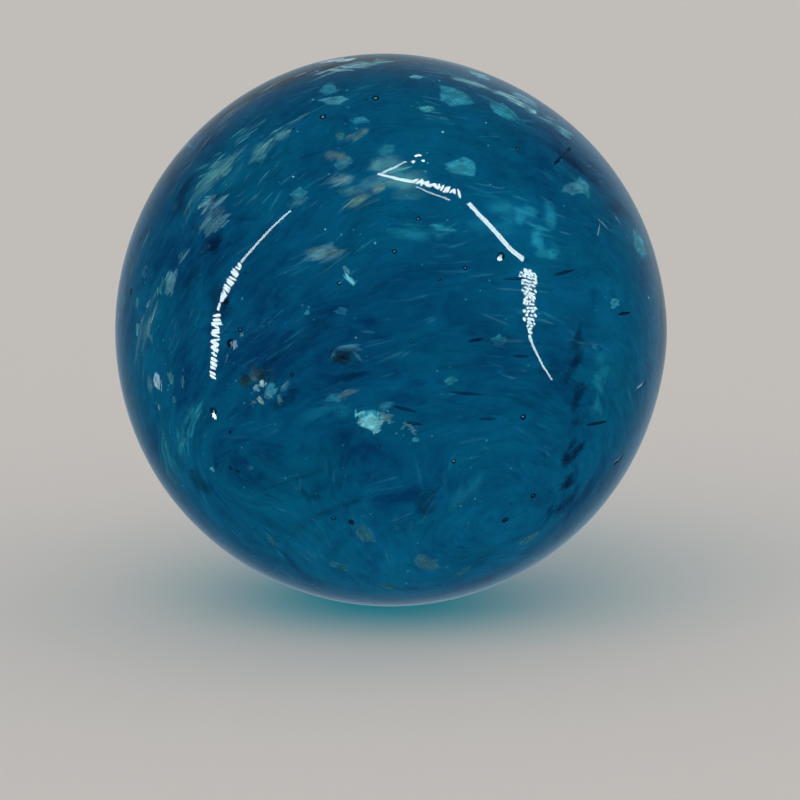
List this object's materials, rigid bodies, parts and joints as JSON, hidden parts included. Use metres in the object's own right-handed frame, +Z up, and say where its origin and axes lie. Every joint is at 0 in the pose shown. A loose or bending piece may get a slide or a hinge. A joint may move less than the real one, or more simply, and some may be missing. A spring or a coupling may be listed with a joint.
{
  "type": "glass marble",
  "caption": "Handmade solid glass ball of clear teal glass with mica flakes and seed bubbles sealed below its skin.",
  "frame": {"origin": "middle of the ball", "axes": "+Z up, away from where the ball rests; -Y is the face that holds the brightest flake; +X is to its right"},
  "size_m": [0.025, 0.025, 0.025],
  "materials": {
    "teal_glass": "fire polished, with a few small nicks",
    "mica": "pearly cleaved sheets"
  },
  "bodies": {
    "root": {"glass_ball": "teal_glass", "mica_flakes": "mica"}
  },
  "joints": []
}
